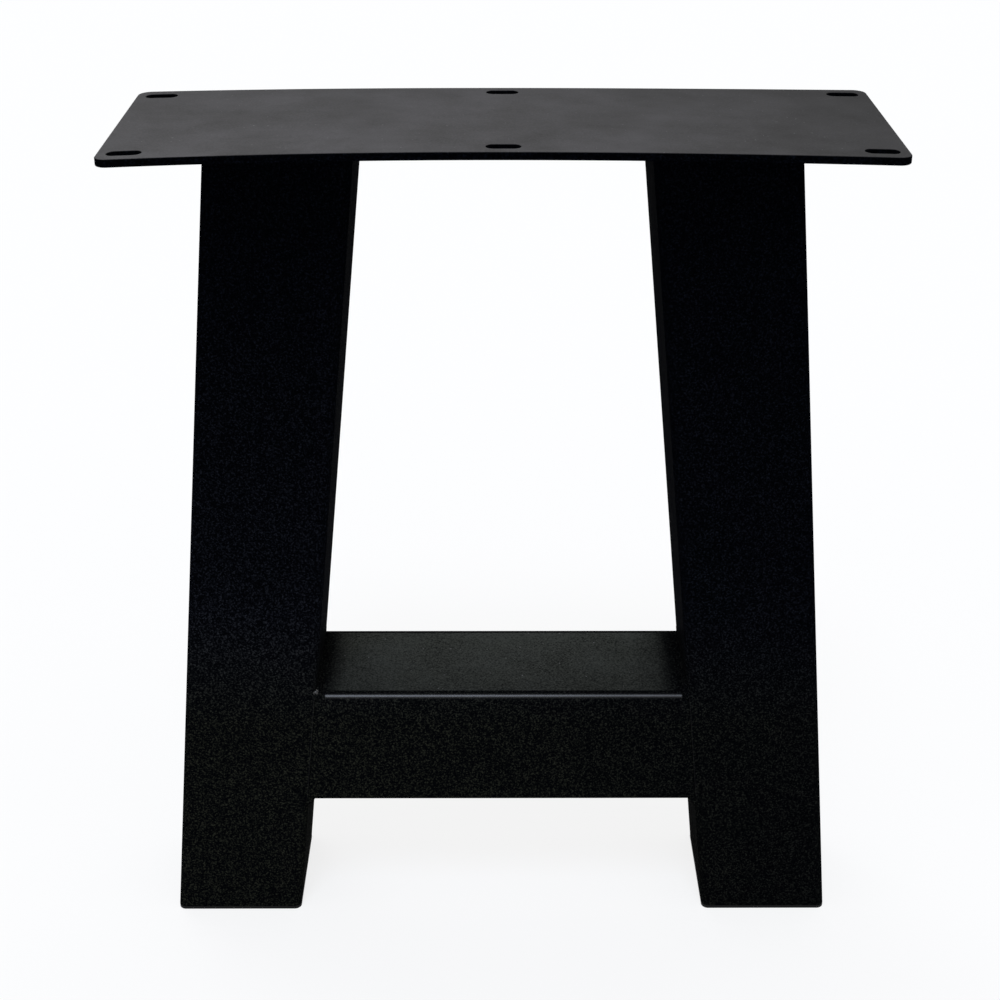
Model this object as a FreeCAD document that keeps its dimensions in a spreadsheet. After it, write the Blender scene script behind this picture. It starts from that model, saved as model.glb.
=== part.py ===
"""Welded A-frame leg for a trestle table, in millimetres.

A slotted steel plate sits on two leaning square tubes, which a crossbar of the
same tube joins low down. Weld seams tie the steel together, and plastic caps
close the tubes at the floor. X runs along the plate, Y from front to back and
Z up. The origin is on the floor, in the middle of the leg.
"""
import FreeCAD, Part
import os
import Sketcher
from FreeCAD import Placement, Rotation, Vector

# Driving sizes in millimetres: alias, value, meaning
SIZES = [
    ("overall_height", 710, "floor to the top of the plate"),
    ("top_spread", 438, "over both legs, under the plate"),
    ("foot_spread", 585, "over both legs, at the tubes' lower ends"),
    ("tube_size", 110, "outside width and depth of the square tube"),
    ("tube_wall", 3, "wall of the square tube"),
    ("tube_corner", 6, "outer radius of the tube's long edges"),
    ("tube_inner_corner", 3, "inner radius of the tube's long edges"),
    ("bar_rise", 120, "floor to the underside of the crossbar"),
    ("plate_length", 580, "top plate along X"),
    ("plate_width", 190, "top plate along Y"),
    ("plate_thick", 6, "top plate"),
    ("plate_corner", 10, "radius of the plate's corners"),
    ("slot_length", 25, "slot from end to end"),
    ("slot_width", 11, "slot across"),
    ("slot_end_inset", 20, "plate's end to the middle of the nearest slot"),
    ("slot_edge_inset", 15, "plate's long edge to the middle of a slot"),
    ("slot_columns", 3, "slots along each long edge"),
    ("plate_weld", 5, "leg length of the weld under the plate"),
    ("bar_weld", 6, "leg length of the weld above and below the crossbar"),
    ("weld_toe", 0.6, "blunt edge of each weld where it meets the steel"),
    ("weld_cover", 5, "reach of the ground weld over a rounded tube edge"),
    ("cap_flange", 3, "foot cap's flange, under the tube"),
    ("cap_edge", 1.5, "rounding of the flange's lower edge"),
    ("cap_depth", 24, "height of the cap's plug inside the tube"),
    ("cap_wall", 2.5, "walls and crossed webs of the plug"),
    ("cap_fin_reach", 2, "how far each fin stands out of the plug"),
    ("cap_fin_thick", 1.4, "fin of the plug"),
    ("cap_fin_pitch", 7, "spacing of the fins, from the flange up"),
    ("cap_clearance", 0.3, "gap between a fin and the inside of the tube"),
]
FIN_COUNT = 3
LEFT = -1
RIGHT = 1

# Derived sizes, as expressions of the sheet
PLATE_UNDERSIDE = "(Sizes.overall_height - Sizes.plate_thick)"
LEG_HEIGHT = f"({PLATE_UNDERSIDE} - Sizes.cap_flange)"
TAN_LEAN = f"((Sizes.foot_spread - Sizes.top_spread) / 2 / {LEG_HEIGHT})"
COS_LEAN = f"(1 / sqrt(1 + {TAN_LEAN} * {TAN_LEAN}))"
LEVEL_WIDTH = f"(Sizes.tube_size / {COS_LEAN})"
LEVEL_BORE = f"((Sizes.tube_size - 2 * Sizes.tube_wall) / {COS_LEAN})"
BORE = "(Sizes.tube_size - 2 * Sizes.tube_wall)"
BAR_TOP = "(Sizes.bar_rise + Sizes.tube_size)"


def leg_centre(height):
    """Expression for the distance from the middle plane to a leg's axis."""
    return f"(Sizes.foot_spread / 2 - {LEVEL_WIDTH} / 2 - ({height} - Sizes.cap_flange) * {TAN_LEAN})"


def leg_inner_face(height):
    """Expression for the distance from the middle plane to a leg's inner face."""
    return f"({leg_centre(height)} - {LEVEL_WIDTH} / 2)"


def make_sheet(doc):
    """Spreadsheet of the driving sizes, one row each, and a gauge that reads expressions of them."""
    sheet = doc.addObject("Spreadsheet::Sheet", "Sizes")
    for row, (alias, value, meaning) in enumerate(SIZES, start=1):
        sheet.set(f"A{row}", alias)
        sheet.set(f"B{row}", str(value))
        sheet.set(f"C{row}", meaning)
        sheet.setAlias(f"B{row}", alias)
    gauge = doc.addObject("App::FeaturePython", "Gauge")
    gauge.addProperty("App::PropertyFloat", "Reading")
    doc.recompute()


def new_body(doc, label):
    """Empty body with its own label."""
    body = doc.addObject("PartDesign::Body", label)
    body.Label = label
    return body


def new_sketch(body, name, plane, level=None):
    """Sketch on one of the body's origin planes, raised by the expression level."""
    sketch = body.newObject("Sketcher::SketchObject", name)
    origin_plane = next(f for f in body.Origin.OriginFeatures if f.Role == plane)
    sketch.AttachmentSupport = [(origin_plane, "")]
    sketch.MapMode = "FlatFace"
    if level is not None:
        sketch.setExpression("AttachmentOffset.Base.z", level)
    return sketch


def value_of(sketch, expression):
    """Number that an expression of the sheet has now."""
    gauge = sketch.Document.getObject("Gauge")
    gauge.setExpression("Reading", expression)
    gauge.recompute()
    return gauge.Reading


def bind(sketch, kind, references, expression):
    """Dimension bound to an expression."""
    index = sketch.addConstraint(Sketcher.Constraint(kind, *references, value_of(sketch, expression)))
    sketch.setExpression(f"Constraints[{index}]", expression)


def add_polygon(sketch, corners):
    """Closed outline through corners, each a pair of expressions."""
    points = [Vector(value_of(sketch, x), value_of(sketch, y), 0) for x, y in corners]
    lines = []
    for index, point in enumerate(points):
        next_point = points[(index + 1) % len(points)]
        lines.append(sketch.addGeometry(Part.LineSegment(point, next_point), False))
    for index, line in enumerate(lines):
        next_line = lines[(index + 1) % len(lines)]
        sketch.addConstraint(Sketcher.Constraint("Coincident", line, 2, next_line, 1))
    for line, (x, y) in zip(lines, corners):
        bind(sketch, "DistanceX", (line, 1), x)
        bind(sketch, "DistanceY", (line, 1), y)


def add_rounded_rectangle(sketch, width, depth, radius, centre_x="0", centre_y="0"):
    """Closed rectangle with round corners, its sizes given as expressions."""
    half_x = f"({width}) / 2 - ({radius})"
    half_y = f"({depth}) / 2 - ({radius})"
    round_off = value_of(sketch, radius)
    arcs = []
    for turn, (side_x, side_y) in enumerate([(1, 1), (-1, 1), (-1, -1), (1, -1)]):
        arc_x = f"{centre_x} + {side_x} * ({half_x})"
        arc_y = f"{centre_y} + {side_y} * ({half_y})"
        middle = Vector(value_of(sketch, arc_x), value_of(sketch, arc_y), 0)
        start = FreeCAD.Units.Quantity(f"{90 * turn} deg").getValueAs("rad").Value
        quarter = FreeCAD.Units.Quantity("90 deg").getValueAs("rad").Value
        circle = Part.Circle(middle, Vector(0, 0, 1), round_off)
        arc = sketch.addGeometry(Part.ArcOfCircle(circle, start, start + quarter), False)
        arcs.append((arc, arc_x, arc_y))
    lines = []
    for index, (arc, _, _) in enumerate(arcs):
        next_arc = arcs[(index + 1) % len(arcs)][0]
        start_point = sketch.Geometry[arc].EndPoint
        end_point = sketch.Geometry[next_arc].StartPoint
        line = sketch.addGeometry(Part.LineSegment(start_point, end_point), False)
        lines.append((arc, line, next_arc))
    for arc, line, next_arc in lines:
        sketch.addConstraint(Sketcher.Constraint("Tangent", arc, 2, line, 1))
        sketch.addConstraint(Sketcher.Constraint("Tangent", line, 2, next_arc, 1))
    for arc, arc_x, arc_y in arcs:
        bind(sketch, "DistanceX", (arc, 3), arc_x)
        bind(sketch, "DistanceY", (arc, 3), arc_y)
        bind(sketch, "Radius", (arc,), radius)


def add_pad(body, sketch, name, length, symmetric=False, direction=None):
    """Pad of a sketch by the expression length, along its normal or a slanted direction."""
    pad = body.newObject("PartDesign::Pad", name)
    pad.Profile = sketch
    if symmetric:
        pad.SideType = "Symmetric"
    if direction is not None:
        pad.UseCustomVector = True
        pad.AlongSketchNormal = True
        for axis, expression in zip("xyz", direction):
            pad.setExpression(f"Direction.{axis}", expression)
    pad.setExpression("Length", length)
    return pad


def add_through_pocket(body, sketch, name):
    """Pocket that cuts right through on both sides of its sketch."""
    pocket = body.newObject("PartDesign::Pocket", name)
    pocket.Profile = sketch
    pocket.Type = "ThroughAll"
    pocket.SideType = "Symmetric"
    return pocket


def make_top_plate(doc):
    """Flat plate with round corners and a grid of slots along X."""
    body = new_body(doc, "top_plate")
    outline = new_sketch(body, "plate_outline", "XY_Plane")
    add_rounded_rectangle(outline, "Sizes.plate_length", "Sizes.plate_width", "Sizes.plate_corner")
    add_pad(body, outline, "plate_pad", "Sizes.plate_thick")

    slot = new_sketch(body, "slot_outline", "XY_Plane")
    first_x = "-(Sizes.plate_length / 2 - Sizes.slot_end_inset)"
    first_y = "-(Sizes.plate_width / 2 - Sizes.slot_edge_inset)"
    add_slot(slot, "Sizes.slot_length", "Sizes.slot_width", first_x, first_y)
    cut = add_through_pocket(body, slot, "slot_cut")

    grid = body.newObject("PartDesign::LinearPattern", "slot_grid")
    grid.Originals = [cut]
    grid.Direction = (slot, ["H_Axis"])
    grid.setExpression("Length", "Sizes.plate_length - 2 * Sizes.slot_end_inset")
    grid.setExpression("Occurrences", "Sizes.slot_columns")
    grid.Direction2 = (slot, ["V_Axis"])
    grid.setExpression("Length2", "Sizes.plate_width - 2 * Sizes.slot_edge_inset")
    grid.Occurrences2 = 2
    body.Tip = grid
    body.setExpression("Placement.Base.z", PLATE_UNDERSIDE)
    return body


def add_slot(sketch, length, width, centre_x, centre_y):
    """Slot along X with round ends, its sizes given as expressions."""
    radius = f"({width}) / 2"
    reach = f"(({length}) - ({width})) / 2"
    ends = []
    for side, start_angle in ((1, -90), (-1, 90)):
        end_x = f"{centre_x} + {side} * {reach}"
        middle = Vector(value_of(sketch, end_x), value_of(sketch, centre_y), 0)
        circle = Part.Circle(middle, Vector(0, 0, 1), value_of(sketch, radius))
        start = FreeCAD.Units.Quantity(f"{start_angle} deg").getValueAs("rad").Value
        half_turn = FreeCAD.Units.Quantity("180 deg").getValueAs("rad").Value
        arc = sketch.addGeometry(Part.ArcOfCircle(circle, start, start + half_turn), False)
        ends.append((arc, end_x))
    for index in (0, 1):
        arc, other = ends[index][0], ends[1 - index][0]
        line = sketch.addGeometry(
            Part.LineSegment(sketch.Geometry[arc].EndPoint, sketch.Geometry[other].StartPoint), False)
        sketch.addConstraint(Sketcher.Constraint("Tangent", arc, 2, line, 1))
        sketch.addConstraint(Sketcher.Constraint("Tangent", line, 2, other, 1))
    for arc, end_x in ends:
        bind(sketch, "DistanceX", (arc, 3), end_x)
        bind(sketch, "DistanceY", (arc, 3), centre_y)
    bind(sketch, "Radius", (ends[0][0],), radius)


def add_tube_section(sketch, hollow, centre_y="0"):
    """Square section with round corners, hollow or filled."""
    add_rounded_rectangle(sketch, "Sizes.tube_size", "Sizes.tube_size", "Sizes.tube_corner",
                          centre_y=centre_y)
    if hollow:
        add_rounded_rectangle(sketch, BORE, BORE, "Sizes.tube_inner_corner", centre_y=centre_y)


def make_leg(doc, label, side, hollow=True):
    """Leaning square tube, its ends sawn level; filled, it is the form that welds fit round."""
    body = new_body(doc, label)
    section = new_sketch(body, label + "_section", "XY_Plane")
    add_tube_section(section, hollow)
    stock_length = f"{LEG_HEIGHT} / {COS_LEAN} + Sizes.tube_size"
    add_pad(body, section, label + "_stock", stock_length, symmetric=True)

    saw_cuts = new_sketch(body, label + "_saw_lines", "XZ_Plane")
    middle = f"{LEG_HEIGHT} / 2 / {COS_LEAN}"
    rise = f"{side} * Sizes.tube_size * {TAN_LEAN}"
    clear = f"({middle} + 2 * Sizes.tube_size)"
    for end in (1, -1):
        add_polygon(saw_cuts, [
            (f"{-end} * Sizes.tube_size", f"{end} * ({middle} + {rise})"),
            (f"{end} * Sizes.tube_size", f"{end} * ({middle} - {rise})"),
            (f"{end} * Sizes.tube_size", f"{end} * {clear}"),
            (f"{-end} * Sizes.tube_size", f"{end} * {clear}"),
        ])
    add_through_pocket(body, saw_cuts, label + "_sawn_ends")

    body.Placement = Placement(Vector(), Rotation(Vector(0, -side, 0), 1))
    middle_height = f"(Sizes.cap_flange + {LEG_HEIGHT} / 2)"
    body.setExpression("Placement.Base.x", f"{side} * {leg_centre(middle_height)}")
    body.setExpression("Placement.Base.z", middle_height)
    body.setExpression("Placement.Rotation.Angle", f"atan({TAN_LEAN})")
    return body


def make_crossbar(doc, label, hollow=True):
    """Level square tube, its ends sawn to the legs' inner faces."""
    body = new_body(doc, label)
    section = new_sketch(body, label + "_section", "YZ_Plane")
    add_tube_section(section, hollow, centre_y="Sizes.bar_rise + Sizes.tube_size / 2")
    add_pad(body, section, label + "_stock", "Sizes.foot_spread", symmetric=True)

    saw_cuts = new_sketch(body, label + "_saw_lines", "XZ_Plane")
    low = "(Sizes.bar_rise - Sizes.tube_size / 2)"
    high = f"({BAR_TOP} + Sizes.tube_size / 2)"
    for side in (LEFT, RIGHT):
        add_polygon(saw_cuts, [
            (f"{side} * {leg_inner_face(low)}", low),
            (f"{side} * Sizes.foot_spread", low),
            (f"{side} * Sizes.foot_spread", high),
            (f"{side} * {leg_inner_face(high)}", high),
        ])
    add_through_pocket(body, saw_cuts, label + "_sawn_ends")
    return body


def make_plate_weld(doc, label, side, filled_leg):
    """Fillet weld round the top of a leg, against the underside of the plate."""
    body = new_body(doc, label + "_form")
    sections = []
    sizes = (("upper", "0", "Sizes.plate_weld"),
             ("lower", "Sizes.plate_weld", "Sizes.weld_toe"))
    for name, drop, reach in sizes:
        level = f"({PLATE_UNDERSIDE} - {drop})"
        sketch = new_sketch(body, f"{label}_{name}", "XY_Plane", level)
        add_rounded_rectangle(sketch, f"{LEVEL_WIDTH} + 2 * {reach}", f"Sizes.tube_size + 2 * {reach}",
                              f"Sizes.tube_corner + {reach}", centre_x=f"{side} * {leg_centre(level)}")
        sections.append(sketch)
    loft = body.newObject("PartDesign::AdditiveLoft", label + "_loft")
    loft.Profile = sections[0]
    loft.Sections = [sections[1]]
    loft.Ruled = True
    return cut_shape(doc, label, body, filled_leg)


def make_bar_weld(doc, label, side, filled_leg, filled_bar):
    """Weld round one end of the crossbar: a fillet above and below, ground flush front and back."""
    body = new_body(doc, label + "_form")
    sketch = new_sketch(body, label + "_profile", "XZ_Plane")
    profile = [
        ("-Sizes.weld_cover", f"{BAR_TOP} + Sizes.bar_weld"),
        ("Sizes.weld_toe", f"{BAR_TOP} + Sizes.bar_weld"),
        ("Sizes.bar_weld", f"{BAR_TOP} + Sizes.weld_toe"),
        ("Sizes.bar_weld", f"{BAR_TOP} - Sizes.weld_cover"),
        ("0", f"{BAR_TOP} - Sizes.weld_cover"),
        ("0", "Sizes.bar_rise + Sizes.weld_cover"),
        ("Sizes.bar_weld", "Sizes.bar_rise + Sizes.weld_cover"),
        ("Sizes.bar_weld", "Sizes.bar_rise - Sizes.weld_toe"),
        ("Sizes.weld_toe", "Sizes.bar_rise - Sizes.bar_weld"),
        ("-Sizes.weld_cover", "Sizes.bar_rise - Sizes.bar_weld"),
    ]
    corners = []
    for inward, height in profile:
        face = leg_inner_face(f"({height})")
        corners.append((f"{side} * ({face} - ({inward}))", height))
    add_polygon(sketch, corners)
    add_pad(body, sketch, label + "_pad", "Sizes.tube_size", symmetric=True)
    beside_leg = cut_shape(doc, label + "_beside_leg", body, filled_leg)
    return cut_shape(doc, label, beside_leg, filled_bar)


def cut_shape(doc, label, base, tool):
    """What is left of base once tool is taken out of it."""
    cut = doc.addObject("Part::Cut", label)
    cut.Label = label
    cut.Base = base
    cut.Tool = tool
    return cut


def make_foot_cap(doc, label, side):
    """Plastic cap: a flange under the tube, and a webbed plug with fins inside it."""
    body = new_body(doc, label)
    top_centre = f"{side} * {leg_centre('Sizes.cap_flange')}"
    slant = (f"{-side} * {TAN_LEAN}", "0", "1")

    flange_outline = new_sketch(body, label + "_flange_outline", "XY_Plane")
    add_rounded_rectangle(flange_outline, LEVEL_WIDTH, "Sizes.tube_size", "Sizes.tube_corner",
                          centre_x=top_centre)
    flange = add_pad(body, flange_outline, label + "_flange", "Sizes.cap_flange")
    doc.recompute()
    lower_edges = [f"Edge{number}" for number, edge in enumerate(flange.Shape.Edges, start=1)
                   if edge.BoundBox.ZMax < flange.Shape.BoundBox.Center.z]
    rounding = body.newObject("PartDesign::Fillet", label + "_edge")
    rounding.Base = (flange, lower_edges)
    rounding.setExpression("Radius", "Sizes.cap_edge")

    inset = "2 * (Sizes.cap_clearance + Sizes.cap_fin_reach)"
    plug_width = f"({LEVEL_BORE} - {inset})"
    plug_depth = f"({BORE} - {inset})"
    plug = new_sketch(body, label + "_plug_section", "XY_Plane", "Sizes.cap_flange")
    add_rounded_rectangle(plug, plug_width, plug_depth, "Sizes.tube_inner_corner", centre_x=top_centre)
    cell_width = f"(({plug_width} - 3 * Sizes.cap_wall) / 2)"
    cell_depth = f"(({plug_depth} - 3 * Sizes.cap_wall) / 2)"
    for side_x in (1, -1):
        for side_y in (1, -1):
            add_rounded_rectangle(
                plug, cell_width, cell_depth, "Sizes.cap_wall / 2",
                centre_x=f"{top_centre} + {side_x} * ({cell_width} + Sizes.cap_wall) / 2",
                centre_y=f"{side_y} * ({cell_depth} + Sizes.cap_wall) / 2")
    add_pad(body, plug, label + "_plug", "Sizes.cap_depth", direction=slant)

    for number in range(1, FIN_COUNT + 1):
        height = f"(Sizes.cap_flange + {number} * Sizes.cap_fin_pitch)"
        centre = f"{side} * {leg_centre(height)}"
        fin = new_sketch(body, f"{label}_fin_{number}_outline", "XY_Plane", height)
        add_rounded_rectangle(fin, f"{LEVEL_BORE} - 2 * Sizes.cap_clearance",
                              f"{BORE} - 2 * Sizes.cap_clearance", "Sizes.tube_inner_corner", centre_x=centre)
        add_rounded_rectangle(fin, f"{plug_width} - Sizes.cap_wall", f"{plug_depth} - Sizes.cap_wall",
                              "Sizes.tube_inner_corner - Sizes.cap_wall / 2", centre_x=centre)
        add_pad(body, fin, f"{label}_fin_{number}", "Sizes.cap_fin_thick", direction=slant)
    return body


def check_objects(doc, pieces):
    """Stop on any failed feature, or a piece that isn't sound."""
    for obj in doc.Objects:
        if "Invalid" in obj.State or "Error" in obj.State:
            raise RuntimeError(f"{obj.Label} failed: {obj.State}")
    for piece in pieces:
        shape = piece.Shape
        if shape.isNull() or not shape.isValid() or len(shape.Solids) != 1:
            raise RuntimeError(f"{piece.Label} is not one sound solid")


def build():
    """Make the document and return the pieces that belong to the leg."""
    doc = FreeCAD.newDocument("trestle_leg")
    make_sheet(doc)
    filled_bar = make_crossbar(doc, "crossbar_filled", hollow=False)
    pieces = [make_top_plate(doc), make_crossbar(doc, "crossbar_tube")]
    for word, side in (("left", LEFT), ("right", RIGHT)):
        filled_leg = make_leg(doc, word + "_leg_filled", side, hollow=False)
        pieces.append(make_leg(doc, word + "_leg_tube", side))
        pieces.append(make_plate_weld(doc, word + "_leg_plate_weld", side, filled_leg))
        pieces.append(make_bar_weld(doc, word + "_crossbar_weld", side, filled_leg, filled_bar))
        pieces.append(make_foot_cap(doc, word + "_foot_cap", side))
    doc.removeObject("Gauge")
    doc.recompute()
    check_objects(doc, pieces)
    return pieces


def write_pieces(pieces):
    """One STEP file for each piece, named by its label."""
    os.makedirs("parts", exist_ok=True)
    for piece in pieces:
        piece.Shape.exportStep(f"parts/{piece.Label}.step")


write_pieces(build())
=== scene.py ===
"""Looks of a welded steel A-frame leg, in black powder coat, built round its CAD frame.

All lengths are metres, in the frame of the CAD part: X along the top plate, Y from
front to back, Z up from the floor.
"""
import math

import bmesh
import bpy
from bpy.props import FloatProperty, FloatVectorProperty, IntProperty, PointerProperty
from mathutils import Matrix, Vector


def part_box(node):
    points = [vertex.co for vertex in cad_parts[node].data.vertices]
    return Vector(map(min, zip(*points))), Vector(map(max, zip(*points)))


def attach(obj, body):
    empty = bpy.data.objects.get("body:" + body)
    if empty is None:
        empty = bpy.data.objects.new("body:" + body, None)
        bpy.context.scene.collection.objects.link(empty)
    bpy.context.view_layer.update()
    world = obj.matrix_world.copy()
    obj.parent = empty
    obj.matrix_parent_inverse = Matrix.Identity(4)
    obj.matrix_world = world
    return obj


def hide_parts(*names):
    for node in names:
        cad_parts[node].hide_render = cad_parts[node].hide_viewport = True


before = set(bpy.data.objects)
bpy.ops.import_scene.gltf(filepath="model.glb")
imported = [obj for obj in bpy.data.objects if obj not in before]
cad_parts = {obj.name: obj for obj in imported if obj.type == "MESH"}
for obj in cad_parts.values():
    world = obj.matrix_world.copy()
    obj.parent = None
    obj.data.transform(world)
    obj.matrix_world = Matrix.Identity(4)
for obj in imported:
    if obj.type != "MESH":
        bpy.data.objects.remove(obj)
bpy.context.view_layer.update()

bl_info = {
    "name": "Trestle Leg",
    "version": (1, 0, 0),
    "blender": (4, 5, 0),
    "location": "View3D > Sidebar > Trestle",
    "description": "Builds the coated surfaces, welds and studio of an A-frame table leg",
    "category": "Object",
}

SIDES = {"left": -1, "right": 1}
MM = 0.001


# ---------------------------------------------------------------- sizes read from the frame

def reach_at(node, level):
    """Furthest distance from the middle plane that a CAD node has at a level."""
    return max(abs(v.co.x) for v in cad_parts[node].data.vertices
               if abs(v.co.z - level) < 0.1 * MM)


PLATE_LOW, PLATE_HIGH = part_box("top_plate")
BAR_LOW, BAR_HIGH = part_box("crossbar_tube")
LEG_LOW, LEG_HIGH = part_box("right_leg_tube")
TUBE = BAR_HIGH.y - BAR_LOW.y
WALL = 3 * MM
TUBE_CORNER = 6 * MM
BORE_CORNER = 3 * MM
PLATE_LENGTH = PLATE_HIGH.x - PLATE_LOW.x
PLATE_WIDTH = PLATE_HIGH.y - PLATE_LOW.y
FOOT_REACH = reach_at("right_leg_tube", LEG_LOW.z)
TOP_REACH = reach_at("right_leg_tube", LEG_HIGH.z)
TAN_LEAN = (FOOT_REACH - TOP_REACH) / (LEG_HIGH.z - LEG_LOW.z)
COS_LEAN = 1 / math.sqrt(1 + TAN_LEAN ** 2)
SIN_LEAN = TAN_LEAN * COS_LEAN
CAP_ROUNDING = 1.5 * MM
SLOT_X = (-0.270, 0.0, 0.270)
SLOT_Y = (-0.080, 0.080)
SLOT_LENGTH = 25 * MM
SLOT_WIDTH = 11 * MM
PLATE_CORNER = 10 * MM


def leg_middle(level):
    """Distance from the middle plane to a leg's axis at a level."""
    return FOOT_REACH - TUBE / 2 / COS_LEAN - (level - LEG_LOW.z) * TAN_LEAN


def leg_inside(level):
    """Distance from the middle plane to a leg's inner face at a level."""
    return leg_middle(level) - TUBE / 2 / COS_LEAN


# ---------------------------------------------------------------- settings

class TrestleForm(bpy.types.PropertyGroup):
    """Small forms that the finished surfaces have"""
    plate_bow: FloatProperty(
        name="Plate Bow", description="Drop of the plate's ends that the welds' pull gives it",
        default=4.15 * MM, min=0, subtype="DISTANCE")
    plate_edge: FloatProperty(
        name="Plate Edge", description="Rounding of the plate's and the slots' edges",
        default=0.7 * MM, min=0.1 * MM, subtype="DISTANCE")
    cap_edge: FloatProperty(
        name="Cap Edge", description="Rounding of the foot caps' lower edge",
        default=0.3 * MM, min=0.1 * MM, subtype="DISTANCE")
    corner_steps: IntProperty(
        name="Corner Steps", description="Facets of each rounded tube corner",
        default=12, min=3)
    bead_pitch: FloatProperty(
        name="Bead Pitch", description="Distance from one weld ripple to the next",
        default=3.6 * MM, min=1 * MM, subtype="DISTANCE")
    bead_depth: FloatProperty(
        name="Bead Depth", description="Depth of a weld ripple, as a share of the bead",
        default=0.16, min=0, max=0.6)
    plate_bead: FloatProperty(
        name="Plate Bead", description="Width of the weld under the plate",
        default=4.6 * MM, min=1 * MM, subtype="DISTANCE")
    bar_bead: FloatProperty(
        name="Crossbar Bead", description="Width of the weld above and below the crossbar",
        default=5.2 * MM, min=1 * MM, subtype="DISTANCE")


class TrestleFinish(bpy.types.PropertyGroup):
    """Colours and textures of the coat and the plastic"""
    coat_colour: FloatVectorProperty(
        name="Coat Colour", description="Colour of the powder coat",
        default=(0.00044, 0.00055, 0.00090), min=0, max=1, subtype="COLOR")
    # Painted sheen: this colour stands in for the sheen of light on the plate's top, as well as its
    # dust and hand marks.
    plate_dust_and_painted_sheen: FloatVectorProperty(
        name="Plate Dust", description="Colour of the fine dust and hand marks on the plate",
        default=(0.0706, 0.0676, 0.0641), min=0, max=1, subtype="COLOR")
    # Painted sheen: this colour stands in for the sheen of light on the crossbar's top, as well as
    # its fine dust.
    bar_dust_and_painted_sheen: FloatVectorProperty(
        name="Crossbar Dust", description="Colour of the fine dust on the crossbar",
        default=(0.0430, 0.0457, 0.0373), min=0, max=1, subtype="COLOR")
    # Painted light: colour of the paler grains towards the feet, which stands in for light from the
    # floor.
    low_painted_light_colour: FloatVectorProperty(
        name="Splash Colour", description="Colour of the grains that floor dust makes paler",
        default=(0.0250, 0.0266, 0.0186), min=0, max=1, subtype="COLOR")
    # Painted light: colour of the bluer pale grains above the crossbar.
    high_painted_light_colour: FloatVectorProperty(
        name="High Splash Colour", description="Colour of the paler grains above the crossbar",
        default=(0.0222, 0.0243, 0.0320), min=0, max=1, subtype="COLOR")
    coat_roughness: FloatProperty(
        name="Coat Roughness", description="Roughness of the powder coat",
        default=0.42, min=0, max=1)
    grain_size: FloatProperty(
        name="Grain Size", description="Width of a grain of the coat's fine texture",
        default=1.5 * MM, min=0.1 * MM, subtype="DISTANCE")
    grain_height: FloatProperty(
        name="Grain Height", description="Height of the coat's fine texture",
        default=0.012 * MM, min=0, subtype="DISTANCE")
    rubbed_gloss: FloatProperty(
        name="Rubbed Gloss", description="Gloss of the crossbar's upper edges, which feet rub",
        default=0.86, min=0, max=1)
    plastic_colour: FloatVectorProperty(
        name="Plastic Colour", description="Colour of the foot caps",
        default=(0.0045, 0.0045, 0.0046), min=0, max=1, subtype="COLOR")


class TrestleStage(bpy.types.PropertyGroup):
    """Camera, light and floor"""
    camera_place: FloatVectorProperty(
        name="Camera Place", description="Where the camera stands",
        default=(-0.00778, -1.28613, 1.03835), subtype="XYZ", unit="LENGTH")
    camera_pitch: FloatProperty(
        name="Camera Pitch", description="How far the camera looks down",
        default=0.468106, subtype="ANGLE")
    camera_yaw: FloatProperty(
        name="Camera Yaw", description="How far the camera turns to the right",
        default=0.004727, subtype="ANGLE")
    camera_roll: FloatProperty(
        name="Camera Roll", description="Lean of the camera",
        default=0.001469, subtype="ANGLE")
    lens: FloatProperty(
        name="Lens", description="Focal length for a sensor 36 mm wide",
        default=62.074, min=1)
    room_light: FloatProperty(
        name="Room Light", description="Level of the even light from all round",
        default=0.70, min=0)
    lamp_light: FloatProperty(
        name="Lamp Light", description="Strength of the softbox above and in front",
        default=1.15, min=0)
    lamp_height: FloatProperty(
        name="Lamp Height", description="Angle of the softbox above the floor",
        default=math.radians(62), subtype="ANGLE")
    lamp_width: FloatProperty(
        name="Lamp Width", description="Angle that the softbox fills",
        default=math.radians(20), subtype="ANGLE")
    back_light: FloatProperty(
        name="Back Light", description="Strength of the softbox behind, to the left",
        default=0.45, min=0)
    floor_whiteness: FloatProperty(
        name="Floor Whiteness", description="How far the floor looks pure white",
        default=0.80, min=0, max=1)
    floor_colour: FloatVectorProperty(
        name="Floor Colour", description="Colour of the studio floor",
        default=(0.93, 0.93, 0.93), min=0, max=1, subtype="COLOR")


# ---------------------------------------------------------------- node trees

class Wire:
    """One output socket, with maths on values written as plain expressions."""

    def __init__(self, nodes, socket):
        self.nodes = nodes
        self.socket = socket

    def maths(self, operation, first, second):
        return self.nodes.make("ShaderNodeMath", {"operation": operation}, {0: first, 1: second})

    def __add__(self, other):
        return self.maths("ADD", self, other)

    def __sub__(self, other):
        return self.maths("SUBTRACT", self, other)

    def __rsub__(self, other):
        return self.maths("SUBTRACT", other, self)

    def __mul__(self, other):
        return self.maths("MULTIPLY", self, other)

    def __truediv__(self, other):
        return self.maths("DIVIDE", self, other)

    def __pow__(self, other):
        return self.maths("POWER", self, other)

    def __abs__(self):
        return self.maths("ABSOLUTE", self, 0)

    __radd__ = __add__


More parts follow.
